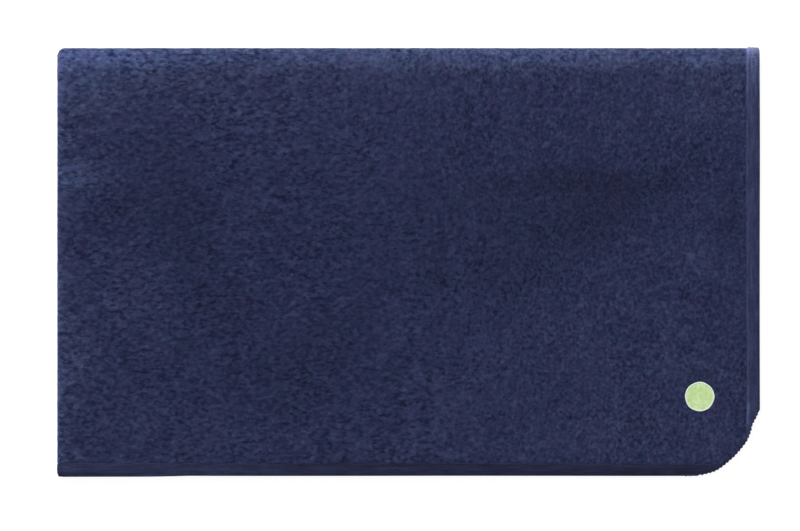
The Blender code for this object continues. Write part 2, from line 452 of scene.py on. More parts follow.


# Stops of the tint that goes with the lift, which carries painted light and shade: the scale times the lift,
# and the colour that the lifted colour is multiplied by
LIFT_TINT_SCALE = 0.25
PLUSH_LIFT_TINT = ((0.200, (1.00, 0.99, 1.04)), (0.31, (1.05, 1.02, 0.89)), (0.48, (1.00, 1.06, 0.88)))
HEM_LIFT_TINT = (
    (0.14, (0.96, 0.98, 1.08)),
    (0.30, (0.98, 0.98, 0.95)),
    (0.53, (1.05, 1.07, 0.91)),
    (0.93, (1.24, 1.24, 0.98)),
)


def lifted(tree, colour, stops):
    """The colour made lighter or darker by the surface's "lift", which holds painted light and shade besides
    its nap and streaks, and tinted as the stops say.
    """
    lift = attribute(tree, "lift")
    scaled = add_node(tree, "VectorMath", {0: colour, "Scale": lift}, operation="SCALE")
    lift_tint = ramp(tree, maths(tree, "MULTIPLY", lift, LIFT_TINT_SCALE), stops)
    return multiplied(tree, scaled.outputs["Vector"], lift_tint)


def plush_material():
    """Dark navy microfibre pile: fine strands, with painted shade in its pits and low places, made lighter
    or darker by its brushed nap and by the painted light and shade in the lift.
    """
    material, tree, shader = new_material("plush_cloth", 0.95, 0.22, (0.51, 0.63, 0.87, 1), 0.45)
    # both are long in X where "turn" is 0. Where it is 1, strands are round and pits are long in Y
    turn = attribute(tree, "turn")
    lying = stretched_noise(tree, (0.46, 0.58, 1.0), 450.0, 2.2, 0.1)
    steep = stretched_noise(tree, (0.64, 0.64, 1.0), 450.0, 2.5, -0.1)
    strands = mixed(tree, turn, lying, steep)
    # painted shade in the pits between the tufts
    lying_pits = stretched_noise(tree, (0.45, 0.84, 1.0), 300.0, 1.2, 0.05)
    steep_pits = stretched_noise(tree, (0.84, 0.62, 1.0), 300.0, 1.5, 0.1)
    pits = {"Value": mixed(tree, turn, lying_pits, steep_pits), "From Min": 0.50, "From Max": 0.34}
    dark = add_node(tree, "MapRange", pits, interpolation_type="SMOOTHSTEP").outputs["Result"]
    uneven = maths(tree, "MULTIPLY_ADD", even_noise(tree, 22.0, 1.0), 0.62, -0.06)
    depth = maths(tree, "MULTIPLY_ADD", turn, -0.10, uneven)
    softened = maths(tree, "MULTIPLY_ADD", strands, 0.77, 0.152)
    grain = maths(tree, "SUBTRACT", softened, maths(tree, "MULTIPLY", dark, depth))
    # the grain is calmer where the strands lie along X
    shade = mixed(tree, maths(tree, "MULTIPLY_ADD", turn, -0.50, 0.19), grain, 0.46)
    # the pile's low places are painted darker: painted shade
    tone = maths(tree, "MULTIPLY_ADD", attribute(tree, "pile"), 0.050, shade)
    navy = (
        (0.16, (0.0039, 0.0056, 0.0255)),
        (0.40, (0.0109, 0.0141, 0.0480)),
        (0.56, (0.0206, 0.0262, 0.0745)),
        (0.74, (0.0382, 0.0462, 0.1110)),
    )
    blotches = ((0.30, (1.09, 0.965, 1.00)), (0.70, (0.91, 1.035, 1.00)))
    colour = lifted(tree, ramp(tree, tone, navy), PLUSH_LIFT_TINT)
    hue = ramp(tree, even_noise(tree, 55.0, 2.0), blotches)
    dress(tree, shader, multiplied(tree, colour, hue), shade, 0.5 * MM)
    return material


def hem_material():
    """Flat navy knit with fine lines along the hem."""
    material, tree, shader = new_material("smooth_hem", 0.75, 0.25, (0.5, 0.55, 0.9, 1), 0.4)
    lines = maths(tree, "SINE", maths(tree, "MULTIPLY", attribute(tree, "across"), 2 * math.pi * 11))
    height = maths(tree, "MULTIPLY_ADD", lines, 0.18, even_noise(tree, 700.0, 4.0))
    navy = (
        (0.25, (0.0116, 0.0150, 0.0460)),
        (0.55, (0.0218, 0.0270, 0.0740)),
        (0.85, (0.0340, 0.0412, 0.1040)),
    )
    dress(tree, shader, lifted(tree, ramp(tree, height, navy), HEM_LIFT_TINT), height, 0.25 * MM)
    return material


def thread_material(name, dark, light):
    material, tree, shader = new_material(name, 0.55, sheen=0.2)
    fibres = even_noise(tree, 2500.0, 2.0)
    dress(tree, shader, ramp(tree, fibres, ((0.3, dark), (0.7, light))), fibres, 0.1 * MM)
    return material


def label_material():
    """Pale green woven label: a fine stippled weave."""
    material, tree, shader = new_material("label_cloth", 0.8)
    place = add_node(tree, "TexCoord").outputs["Object"]
    stipple = add_node(tree, "TexVoronoi", {"Vector": place, "Scale": 1100.0}).outputs["Distance"]
    tone = maths(tree, "MULTIPLY_ADD", stipple, 0.25, even_noise(tree, 260.0, 4.0))
    green = (
        (0.35, (0.385, 0.535, 0.212)),
        (0.60, (0.490, 0.650, 0.308)),
        (0.85, (0.605, 0.755, 0.435)),
    )
    dress(tree, shader, ramp(tree, tone, green), tone, 0.15 * MM)
    return material


MATERIALS = {
    "plush": plush_material(),
    "hem": hem_material(),
    "thread": thread_material("sewing_thread", (0.010, 0.012, 0.038), (0.022, 0.026, 0.068)),
    "edging": thread_material("edging_thread", (0.006, 0.007, 0.023), (0.016, 0.019, 0.054)),
    "fray": thread_material("frayed_hem", (0.12, 0.14, 0.25), (0.34, 0.38, 0.52)),
    "label": label_material(),
    "label_thread": thread_material("label_thread", (0.57, 0.67, 0.55), (0.80, 0.88, 0.79)),
}


# ---- plush panels

def back_fold_highlight(x, y):
    """Painted highlight where the pile bends over the back edge, with painted shade at the very edge, where
    it turns under.
    """
    from_back = np.clip(BACK - y, 0, None)
    rolled = 0.91 * (1 - smooth_step(13 * MM, 27 * MM, from_back + 1.5 * MM * np.sin(x / 0.019)))
    under = 0.42 * fading(from_back, 2.6 * MM)
    at_hinge = 0.20 * bell(from_back - 6.3 * MM, 2.2 * MM)
    return rolled - under + at_hinge + 0.42 * fading(from_back, 38 * MM)


def left_fold_highlight(x):
    """The same painted highlight at the left edge, where the fold is smaller."""
    return 1.20 * fading(x - LEFT, 4.5 * MM) + 0.46 * fading(x - LEFT, 18 * MM)


def plush_attributes(x, y, pile, nap, rims):
    """Numbers for the pile's colour. rims names the folded edges whose painted highlight it gets."""
    lift = 0.870 * (1 + 0.11 * nap.at(x, y))
    rim_light = np.ones_like(lift)
    # painted highlight along the folded edges named in rims
    if "back" in rims:
        rim_light = rim_light + back_fold_highlight(x, y)
    if "left" in rims:
        rim_light = rim_light + left_fold_highlight(x)
    return {"pile": pile.at(x, y), "lift": lift * rim_light, "turn": turn_at(x, y)}


def panel_grid(layer, spacing):
    """x and y of a grid over one quarter's plush, and its front edge, which follows the rounded corner."""
    mean_edge = float(np.mean(side_edge(layer, np.linspace(FRONT, BACK, 50))))
    right = mean_edge - HEM_WIDTH["side"] + SIDE_LAP
    cols = int((right - HINGE_X) / spacing) + 2
    rows = int((HINGE_Y - FRONT - HEM_WIDTH["end"]) / spacing) + 2
    x = np.linspace(HINGE_X, right, cols)
    ragged = np.random.default_rng(40 + layer).uniform(-1, 1, (2, max(rows, cols))) * RAGGED
    front = front_edge(layer, x) + HEM_WIDTH["end"] - END_LAP + ragged[0, :cols]
    front = np.maximum(front, corner_front(layer, x, EDGING_WIDTH - 0.6 * MM) + 0.3 * ragged[0, :cols])
    share = np.linspace(0, 1, rows)[:, None]
    y = front * (1 - share) + HINGE_Y * share
    x = np.broadcast_to(x, y.shape).copy()
    x[1:-1, -1] += ragged[1, 1 : rows - 1]
    # the lap over the side hem is shorter towards the front
    x[:, -1] -= 0.8 * MM * (1 - smooth_step(-0.10, 0.08, y[:, -1]))
    return x, y, front


def pile_height(layer, side, x, y, front, right, pile):
    """The pile over the layer's flat face. It thins out at a hem, and fills the inside of a fold."""
    sunk = np.ones_like(x)
    if "left" not in RUNS_ROUND[layer, side]:
        sunk = sunk * smooth_step(SMALL_RADIUS, SMALL_RADIUS + 12 * MM, x - HINGE_X)
    if "back" not in RUNS_ROUND[layer, side]:
        sunk = sunk * smooth_step(LARGE_RADIUS, LARGE_RADIUS + 12 * MM, HINGE_Y - y)
    relief = PILE_RELIEF * pile.at(x, y) * (0.3 + 0.7 * sunk) - PILE_MEAN * sunk + 0.15 * MM * (1 - sunk)
    return relief - 0.9 * MM * (fading(y - front, 1.6 * MM) + fading(right - x, 1.6 * MM))


def crease_lines(x, y):
    """How near each place is to a crease: the storage crease, a short one behind it, and the back rim's."""
    storage = bell(y - CREASE_Y + 0.003 * np.sin(x / 0.03), CREASE_WIDTH)
    storage = storage * between(x, 0.17, 0.25, 0.28, 0.31)
    short = bell(y - 0.165, CREASE_WIDTH) * between(x, 0.09, 0.11, 0.15, 0.18)
    rolled = bell(BACK - y - 16.5 * MM + 0.9 * MM * np.sin(x / 0.021), CREASE_WIDTH)
    rolled = rolled * np.clip(0.6 + 0.6 * np.sin(x / 0.034 + 1.0), 0, 1)
    return storage, short, rolled


def storage_shade(x, y):
    """Painted shade in a wedge in front of the storage crease."""
    below = CREASE_Y - y
    uneven = 4 * MM * np.sin(x / 0.023) + 3 * MM * np.sin(x / 0.011 + 1)
    inside = smooth_step(-13 * MM, 4 * MM, below + uneven) * fading(below, 130 * MM)
    right_end = 0.31 - 1.2 * np.clip(below, 0, None)
    return inside * between(x, 0.03, 0.15, right_end - 0.04, right_end + 0.01)


def wrinkles(x, y):
    """How near each place is to the short wrinkles at the left edge."""
    near = np.zeros_like(x)
    for place, length in WRINKLES:
        line = bell(y - place + 0.9 * MM * np.sin(x / 0.006), 1.5 * MM)
        near += line * (1 - smooth_step(length - 10 * MM, length, x - HINGE_X))
    return near


def creases(x, y):
    """Depth of the faint creases in the top face, from how it was stored, and height of its wrinkles."""
    storage, short, rolled = crease_lines(x, y)
    raised = 0.35 * MM * wrinkles(x, y) * smooth_step(0, 4 * MM, x - HINGE_X)
    return raised - 0.3 * MM * storage - 0.35 * MM * short - 0.5 * MM * rolled


def label_dip(x, y):
    """The label presses the pile down under it and a little round it."""
    distance = np.hypot(x - LABEL_X, y - LABEL_Y)
    return -1.3 * MM * (1 - smooth_step(LABEL_RADIUS - 0.8 * MM, LABEL_RADIUS + 1.6 * MM, distance))


def top_shade(x, y):
    """Painted shade and highlight on the top face: darker along its creases and in the wedge in front of the
    storage crease, lighter on its wrinkles and at the left of its front edge.
    """
    storage, short, rolled = crease_lines(x, y)
    # painted shade along the creases and in the storage crease's wedge, and painted highlight on the
    # wrinkles
    darker = 0.04 * storage + 0.08 * short + 0.10 * rolled + 0.25 * storage_shade(x, y)
    # at the left the pile lies over the end hem, and its front edge is painted lighter there, taking away
    # the shade that falls on it
    from_hem = y - front_edge(TOP_LAYER, x) - HEM_WIDTH["end"] + END_LAP
    left_front_light = (1 - smooth_step(-0.345, -0.20, x)) * fading(from_hem, 2.6 * MM)
    return (1 - darker + 0.45 * wrinkles(x, y)) * (1 + 0.36 * left_front_light)


def ground_cloth(grid, middle, step=12):
    """A coarse flat sheet under a grid of points, joined to all the points of its border by a wall.

    Gives its points, to be added after the grid's, and the faces of the wall and the sheet.
    """
    rows, cols = grid.shape[:2]
    index = np.arange(rows * cols).reshape(rows, cols)
    border = np.concatenate([index[0, :-1], index[:-1, -1], index[-1, :0:-1], index[:0:-1, 0]])
    kept = np.array([*range(0, cols - step // 2, step), cols - 1])
    under = np.concatenate([border, index[1:-1, kept[1:-1]].reshape(-1)])
    place = np.full(rows * cols, -1)
    place[under] = rows * cols + np.arange(len(under))
    below = place[border]
    wall = np.stack([np.roll(border, -1), border, below, np.roll(below, -1)], axis=-1)
    place = place.reshape(rows, cols)
    inner = place[1:-1][:, kept]
    sheet = np.stack([inner[:-1, :-1], inner[1:, :-1], inner[1:, 1:], inner[:-1, 1:]], axis=-1)
    faces = wall.tolist() + sheet.reshape(-1, 4).tolist()
    # the sheet's first and last rows meet every point of the border
    for start, end in zip(kept[:-1], kept[1:]):
        faces.append([place[1, start], place[1, end], *place[0, start : end + 1][::-1]])
        faces.append([place[-2, end], place[-2, start], *place[-1, start : end + 1]])
    points = grid.reshape(-1, 3)[under].copy()
    points[:, 2] = middle
    return points, faces


def make_skin(layer, side, spacing, pile, nap):
    """One skin of a quarter: the pile on its face (side 1) or back (side -1), closed by the ground cloth."""
    name, body = LAYERS[layer]
    on_top = layer == TOP_LAYER and side > 0
    x, y, front = panel_grid(layer, spacing)
    inset = pile_height(layer, side, x, y, front, x[0, -1], pile)
    if on_top:
        inset = inset + creases(x, y) + label_dip(x, y)
    z = MIDDLES[layer] + side * np.maximum(THICKNESS / 2 + inset, 0.15 * MM)
    grid = np.stack([x, y, z], axis=-1)
    ground, ground_faces = ground_cloth(grid, MIDDLES[layer])
    points = np.concatenate([grid.reshape(-1, 3), ground])
    faces = quads(*x.shape).tolist() + ground_faces
    if side < 0:
        faces = [face[::-1] for face in faces]
    rims = [edge for edge in RUNS_ROUND[layer, side] if edge == "left" or layer in (0, TOP_LAYER)]
    attributes = plush_attributes(points[:, 0], points[:, 1], pile, nap, rims)
    if on_top:
        attributes["lift"] = attributes["lift"] * top_shade(points[:, 0], points[:, 1])
    suffix = "face" if side > 0 else "back"
    piece = add_mesh(f"{name}_pile_{suffix}", points, faces, "plush", attributes)
    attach(piece, body)
    if side > 0:
        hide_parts(name + "_cloth")
    return piece


# ---- hems

# random numbers for the streaks of the hems
STREAKS = np.random.default_rng(77).uniform(-1, 1, (256, 32))

# lightness of a hem beside the pile, painted lighter on the side hem and darker on the end hem for how the
# light falls on each, and how far its outer edge droops for each layer under it
HEM_LIFT = {"side": 1.12, "end": 0.84}
HEM_DROOP = {"side": 0.3 * MM, "end": 0.8 * MM}

# how much a side hem is rubbed, and painted lighter, at the back where it faces inward, beside where it
# faces outward
INNER_WEAR_AND_LIGHT = 0.12

# where its stitches run, from a hem's inner edge (0) to the cloth's edge (1)
STITCHED_AT = 0.30


def hem_streaks(along, across, length, count):
    """Light and dark streaks along a hem, about -1 to 1, from the pull of its stitching."""
    u, v = along / length + 200, across * count
    i, j = np.floor(u).astype(int), np.floor(v).astype(int)
    cols, rows = (i % 256, (i + 1) % 256), (j % 32, (j + 1) % 32)
    return bilinear(STREAKS.T, cols, rows, smooth_step(0, 1, u - i), smooth_step(0, 1, v - j))


def side_hem_shade(across, y, wear_and_light):
    """Painted highlight towards its inner edge, stronger in two stretches towards the corner, and far
    lighter at its back end, which is rubbed and frayed and painted lighter where it bends over the fold;
    with a dark line outside.
    """
    # the back end: rubbed and frayed, and a painted highlight where it bends over the fold
    worn_and_lit = 1 + wear_and_light * (2.7 * fading(BACK - y, 13 * MM) + 0.66 * fading(BACK - y, 45 * MM))
    # painted highlight along the inner edge, in two stretches towards the corner
    corner_highlight = 0.18 * smooth_step(-0.06, -0.11, y) + 0.85 * smooth_step(-0.148, -0.157, y)
    corner_highlight = corner_highlight * (1 - smooth_step(-0.170, -0.180, y))
    inner = 1 + 0.14 * (1 - smooth_step(0.15, 0.5, across)) + corner_highlight * bell(across - 0.20, 0.13)
    return worn_and_lit * inner * (1 - 0.22 * bell(across - 0.85, 0.05))


def end_hem_shade(across, x):
    """Painted light and shade: lightest at the left, where it lies flat, and darker towards the corner, with
    a lighter strip along its inner edge there.
    """
    level = np.interp(x, (-0.36, -0.24, -0.11, 0.09, 0.25), (1.18, 1.10, 0.86, 0.71, 0.60))
    right = smooth_step(0.05, 0.20, x)
    middle = smooth_step(-0.20, -0.10, x) * (1 - right)
    # painted shadow along the inner edge, under the pile's edge, and painted shade along the outer edge at
    # the left
    edge = 0.30 * bell(across - 0.07, 0.13)
    seam_shadow = 0.14 * middle * bell(across - 0.16, 0.10)
    strip = 0.42 * right * (1 - smooth_step(0.22, 0.36, across))
    tucked_shade = 0.34 * smooth_step(0.70, 0.84, across) * smooth_step(-0.27, -0.32, x)
    return level * (1 - edge - seam_shadow + strip - tucked_shade)


def hem_attributes(which, across, x, y, layer=TOP_LAYER, wear_and_light=1.0):
    """Numbers for the hem's colour: the place across it, and how light it is."""
    across = np.clip(across, 0, 1)
    along = y if which == "side" else x
    streaks = hem_streaks(along, across, 14 * MM, 9) + 0.7 * hem_streaks(along + 0.5, across, 6 * MM, 13)
    shade = side_hem_shade(across, y, wear_and_light) if which == "side" else end_hem_shade(across, x)
    # under the top pair of layers, the hem is in shade at the left
    if layer < 2:
        shade = shade * (1 - 0.75 * fading(x - LEFT, 12 * MM))
    return {"across": across, "lift": HEM_LIFT[which] * shade * (1 + 0.34 * streaks)}


def hem_profile(across):
    """Height of a hem over its middle plane, from its inner edge (0) to the cloth's edge (1)."""
    s = np.clip(across, 0.0, 1.0)
    rise = np.sqrt(np.clip(1 - (1 - np.minimum(s / 0.28, 1)) ** 2, 0, 1))
    fall = np.sqrt(np.clip(1 - np.clip((s - 0.28) / 0.72, 0, 1) ** 3.2, 0, 1))
    stitched = 0.28 * MM * bell(s - STITCHED_AT, 0.045)
    ribs = 0.05 * MM * np.cos(2 * math.pi * s * 7)
    return (HEM_HALF_HEIGHT - stitched + ribs) * (rise * fall)


def hem_place(layer, which, along, inset):
    """x and y of a place on a hem, that far inside the cloth's edge."""
    if which == "side":
        return side_edge(layer, along) - inset, along
    return along, front_edge(layer, along) + inset


def hem_droop(layer, which, across):
    return -layer * HEM_DROOP[which] * np.clip(across, 0, 1) ** 1.3


def sway(layer, along):
    """A hem rises and falls a little along its length, each layer in its own way."""
    return (0.32 * np.sin(along / 0.061 + 2.1 * layer) + 0.16 * np.sin(along / 0.023 + 1.1 * layer)) * MM


def hem_bend(layer, which, along, across, x, y):
    """How far a hem lies over or under its layer's middle. At the folds it lies level."""
    calm = smooth_step(0, 0.03, HINGE_Y - y) * smooth_step(0, 0.03, x - HINGE_X)
    return (sway(layer, along) + hem_droop(layer, which, across)) * calm


def hem_ends(layer, which, inset):
    """Where a hem starts at the rounded corner, at each inset from the cloth's edge, and where it ends."""
    if which == "side":
        x = np.minimum(side_edge(layer, HINGE_Y) - inset, CORNER_X + CORNER_RADIUS - 1.9 * MM)
        return corner_front(layer, x, 1.6 * MM), HINGE_Y
    y = np.maximum(front_edge(layer, CORNER_X) + inset, FRONT + 1.5 * MM)
    return corner_side(layer, y, 1.6 * MM), HINGE_X


def make_hem(layer, which):
    """One straight hem, cut off by the rounded corner at one end."""
    name, body = LAYERS[layer]
    length = HINGE_Y - CORNER_Y if which == "side" else CORNER_X - HINGE_X
    rows = int(length / (2 * MM)) + 12
    # each row is a closed loop: over the hem's face outward, then back under it
    s = 0.5 - 0.5 * np.cos(np.linspace(0, math.pi, 21))
    across = np.concatenate([s, s[-2:0:-1]])
    side = np.where(np.arange(len(across)) < len(s), 1.0, -1.0)
    inset = HEM_WIDTH[which] * (1 - across)
    start, end = hem_ends(layer, which, inset)
    share = np.linspace(0, 1, rows)[:, None]
    along = start * (1 - share) + end * share
    x, y = hem_place(layer, which, along, inset)
    z = MIDDLES[layer] + side * hem_profile(across) + hem_bend(layer, which, along, across, x, y)
    points = np.stack([x, y, z], axis=-1).reshape(-1, 3)
    faces = capped(rows, len(across), flip=which == "side")
    outward = {0: side < 0, TOP_LAYER: side > 0}.get(layer, side == 0)
    wear_and_light = np.tile(np.where(outward, 1.0, INNER_WEAR_AND_LIGHT), rows)
    attributes = hem_attributes(which, np.tile(across, rows), points[:, 0], points[:, 1], layer, wear_and_light)
    piece = add_mesh(f"{name}_{which}_hem_cloth", points, faces, "hem", attributes)
    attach(piece, body)
    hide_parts(f"{name}_{which}_hem")
    return piece


def corner_droop(layer, angle):
    """The corner's edge droops as the side hem does at one end, and as the end hem does at the other."""
    turned = smooth_step(20, 70, angle)
    side = hem_droop(layer, "side", 0.9) + sway(layer, CORNER_Y)
    end = hem_droop(layer, "end", 0.9) + sway(layer, CORNER_X)
    return side * (1 - turned) + end * turned


def make_corner_edging(layer):
    """The overlocked edge of the rounded corner: a rounded strip ridged by its thread."""
    name, body = LAYERS[layer]
    arc_length = CORNER_RADIUS * math.pi / 2
    pitch = 4.3 * MM
    angles = np.linspace(1.0, 90.0, int(arc_length / (0.4 * MM)))
    around = np.linspace(0, 2 * math.pi, 15)[:-1]
    along = np.radians(angles) * CORNER_RADIUS
    uneven = np.random.default_rng(67 + layer).uniform(0.78, 1.22, 60)
    loose = np.interp(along, np.arange(60) * pitch, uneven)
    ridges = 0.34 * np.cos(along / pitch * 2 * math.pi) + 0.12 * np.cos(along / (1.7 * MM) * 2 * math.pi)
    swell = (loose + ridges)[:, None]
    angles = angles[:, None]
    inset = EDGING_WIDTH / 2 * (1 - swell * np.cos(around))
    x, y = corner_point(layer, angles, inset)
    z = MIDDLES[layer] + 1.25 * MM * swell * np.sin(around) + corner_droop(layer, angles)
    points = np.stack([x, y, z], axis=-1).reshape(-1, 3)
    piece = add_mesh(f"{name}_corner_overlock", points, capped(*x.shape, flip=True), "edging")
    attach(piece, body)
    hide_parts(name + "_corner_edging")
    return piece


def stitch_points(start, end, bow, radius):
    """A short stitch of 5 rings of 6 points: a round thread that dips into the cloth at both ends."""
    t = np.linspace(0, 1, 5)
    rise = np.sin(t * math.pi)
    line = np.outer(1 - t, start) + np.outer(t, end)
    line[:, 2] += bow * (rise - 0.8)
    direction = (end - start) / np.linalg.norm(end - start)
    sideways = np.cross(direction, (0, 0, 1))
    around = np.linspace(0, 2 * math.pi, 7)[:-1]
    size = radius * (0.35 + 0.65 * np.sqrt(np.clip(rise, 0, 1)))
    rings = line[:, None, :] + np.outer(size, np.cos(around))[..., None] * sideways
    rings[..., 2] += np.outer(size, np.sin(around))
    return rings.reshape(-1, 3)


def stitch_places(layer, which, inset, pitch):
    """Where the stitches of a hem start, from the rounded corner to the fold."""
    clear = 2.4 * MM
    if which == "side":
        first = float(corner_front(layer, side_edge(layer, CORNER_Y) - inset, clear))
        return np.arange(first + pitch, HINGE_Y - pitch, pitch)
    last = float(corner_side(layer, front_edge(layer, CORNER_X) + inset, clear))
    return np.arange(HINGE_X + pitch, last - pitch, pitch)


def make_stitches(layer, which):
    """The row of stitches that holds a hem, on both of its faces."""
    name, body = LAYERS[layer]
    inset = HEM_WIDTH[which] * (1 - STITCHED_AT)
    height = float(hem_profile(STITCHED_AT)) + 0.12 * MM
    stitches = []
    for side in (1, -1):
        for place in stitch_places(layer, which, inset, 3.2 * MM):
            ends = []
            for along in (place, place + 2.6 * MM):
                x, y = hem_place(layer, which, along, inset)
                z = MIDDLES[layer] + side * height + hem_bend(layer, which, along, STITCHED_AT, x, y)
                ends.append(np.array([x, y, z], float))
            stitches.append(stitch_points(*ends, side * 0.25 * MM, 0.27 * MM))
    faces = repeated(capped(5, 6), len(stitches), 30)
    piece = add_mesh(f"{name}_{which}_hem_stitches", np.concatenate(stitches), faces, "thread")
    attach(piece, body)
    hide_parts(f"{name}_{which}_thread")
    return piece


# ---- folds

# the radius inside a fold whose cloth is bent flat on itself
HOLLOW = 0.1 * MM


def fold_loops(centres, outward, radii, radius_in, angles, taper_out=1.0, taper_up=1.0):
    """Closed loops round a fold's strip, one at each centre on its hinge, and their rows and columns.

    The angles run from the upper layer to the lower one. The tapers shrink loops towards a closed end.
    """
    around = np.concatenate([angles, angles[::-1]])
    radii = np.concatenate([radii, np.full_like(radii, radius_in)], axis=1)
    loops = centres[:, None, :] + (radii * np.sin(around) * taper_out)[..., None] * np.array(outward)
    loops[..., 2] += radii * np.cos(around) * taper_up
    return loops.reshape(-1, 3), radii.shape


def fold_surface(radius, angles, pile, fullness):
    """The pile's surface round a fold: smoother and fuller where the fold is sharpest."""
    bend = np.sin(angles)
    return radius - PILE_MEAN * (1 - fullness * bend) + PILE_RELIEF * pile * (1 - 0.65 * bend)


def round_end(stations, tip, full):
    """Shrinks from 1 at the place full to under 0.2 at the tip, along a quarter circle."""
    beyond = np.clip((full - stations) / (full - tip) * 0.985, 0, 1)
    return np.sqrt(1 - beyond**2)


def strip_stations(kind, start, end, spacing):
    """Places along a strip, in a column, closer together on a hem."""
    if kind == "hem":
        spacing = 0.5 * MM
    return np.linspace(start, end, int((end - start) / spacing) + 2)[:, None]


def both_walls(places):
    """Places along the outside of each loop, and the same back along its inside, in one row."""
    return np.concatenate([places, places[:, ::-1]], axis=1).reshape(-1)


def back_strip(name, kind, start, end, radius, inner, angles, spacing, pile, nap, rims):
    """A strip of the back edge's fold, between two places along X."""
    stations = strip_stations(kind, start, end, spacing)
    x, y = np.broadcast_arrays(stations, HINGE_Y + radius * angles)
    centres = stations * (1, 0, 0) + (0, HINGE_Y, STACK_MIDDLE)
    tapers = ()
    if start < HINGE_X:
        tapers = (round_end(stations, start, 2 * HINGE_X - start), round_end(stations, start, HINGE_X))
    if kind == "plush":
        radii = fold_surface(radius, angles, pile.at(x, y), 1.55)
    else:
        frayed = np.random.default_rng(61).uniform(0.3, 1.3, x.shape) * MM * np.sin(angles) ** 2
        radii = radius - THICKNESS / 2 + frayed + hem_profile(0.96 * ((x - start) / (end - start)))
    points, shape = fold_loops(centres, (0, 1, 0), radii, inner, angles, *tapers)
    if kind == "plush":
        attributes = plush_attributes(both_walls(x), both_walls(y), pile, nap, rims)
    else:
        across = (points[:, 0] - start) / (end - start)
        wear_and_light = 1.0 if "back" in rims else INNER_WEAR_AND_LIGHT
        attributes = hem_attributes("side", across, points[:, 0], points[:, 1], wear_and_light=wear_and_light)
    return add_mesh(name, points, capped(*shape, flip=True), kind, attributes)


def left_strip(name, kind, start, end, centre_z, pile, nap):
    """A strip of the left edge's fold, between two places along Y."""
    angles = np.linspace(0, math.pi, 15)
    stations = strip_stations(kind, start, end, TOP_SPACING)
    x, y = np.broadcast_arrays(HINGE_X - SMALL_RADIUS * angles, stations)
    centres = stations * (0, 1, 0) + (HINGE_X, 0, centre_z)
    if kind == "plush":
        radii = fold_surface(SMALL_RADIUS, angles, pile.at(x, y), 0.85)
    else:
        full = SMALL_RADIUS - THICKNESS / 2 + 0.6 * MM * np.sin(angles)
        radii = full + hem_profile(0.92 * (1 - (y - start) / (end - start)))
    points, shape = fold_loops(centres, (-1, 0, 0), radii, HOLLOW, angles)
    upper = centre_z > STACK_MIDDLE
    if kind == "plush":
        rims = ("left", "back") if upper else ("left",)
        attributes = plush_attributes(both_walls(x), both_walls(y), pile, nap, rims)
    else:
        across = (end - points[:, 1]) / (end - start)
        layer = TOP_LAYER if upper else 0
        attributes = hem_attributes("end", across, points[:, 0], points[:, 1], layer)
    return add_mesh(name, points, capped(*shape), kind, attributes)


def make_outer_wraps(pile, nap):
    """The outer wrap of the back edge: half of it rides on the top layer, and half on the bottom one."""
    quarter = math.pi / 2
    for name, body, span, node, anchor in (
        ("back_wrap_upper", "top_panel", (0, quarter), "back_fold_outer_upper", STACK_TOP - 1.0 * MM),
        ("back_wrap_lower", "bottom_panel", (quarter, math.pi), "back_fold_outer_lower", 1.0 * MM),
    ):
        for kind, start, end in (("plush", LEFT, SEAM_X), ("hem", SEAM_X, RIGHT + 0.4 * MM)):
            piece = back_strip(
                f"{name}_{kind}", kind, start, end, LARGE_RADIUS, LARGE_RADIUS - THICKNESS,
                np.linspace(*span, 10), TOP_SPACING, pile, nap, ("left", "back"),
            )
            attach(piece, body)
            if kind == "plush":
                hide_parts(node)
            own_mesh(piece)


def make_inner_wrap(pile, nap):
    """The inner wrap of the back edge joins the two inner layers."""
    for kind, start, end in (("plush", HINGE_X, SEAM_X), ("hem", SEAM_X, RIGHT - 1.5 * MM)):
        piece = back_strip(
            f"back_inner_{kind}", kind, start, end, SMALL_RADIUS, HOLLOW,
            np.linspace(0, math.pi, 15), SPACING, pile, nap, (),
        )
        if kind == "plush":
            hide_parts("back_fold_inner")
        across_joint(piece)


def make_left_folds(piles, naps):
    """The left folds join the two lower layers and the two upper ones."""
    for name, joint, lower, upper, layer in (
        ("left_fold_lower", "left_fold", "bottom_panel", "lower_inner_panel", 0),
        ("left_fold_upper", "left_fold_upper", "upper_inner_panel", "top_panel", 2),
    ):
        centre_z = JOINTS[joint]["pos_m"][2]
        front = float(front_edge(layer, HINGE_X) + front_edge(layer + 1, HINGE_X)) / 2
        for kind, start, end in (("hem", front, SEAM_Y), ("plush", SEAM_Y, HINGE_Y)):
            piece = left_strip(
                f"{name}_{kind}", kind, start, end, centre_z, piles[layer + 1], naps[layer + 1]
            )
            if kind == "plush":
                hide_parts(name)
            across_joint(piece)


def across_joint(piece):
    """The piece bends round a fold. Its place is baked into its mesh, and it is attached to no body.
    """
    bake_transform(piece)


def over_back_edge(y):
    """Height of the top layer's surface near the back edge, where it bends over."""
    over = np.clip((y - HINGE_Y) / LARGE_RADIUS, 0, 0.98)
    return STACK_MIDDLE + LARGE_RADIUS * np.sqrt(1 - over**2)


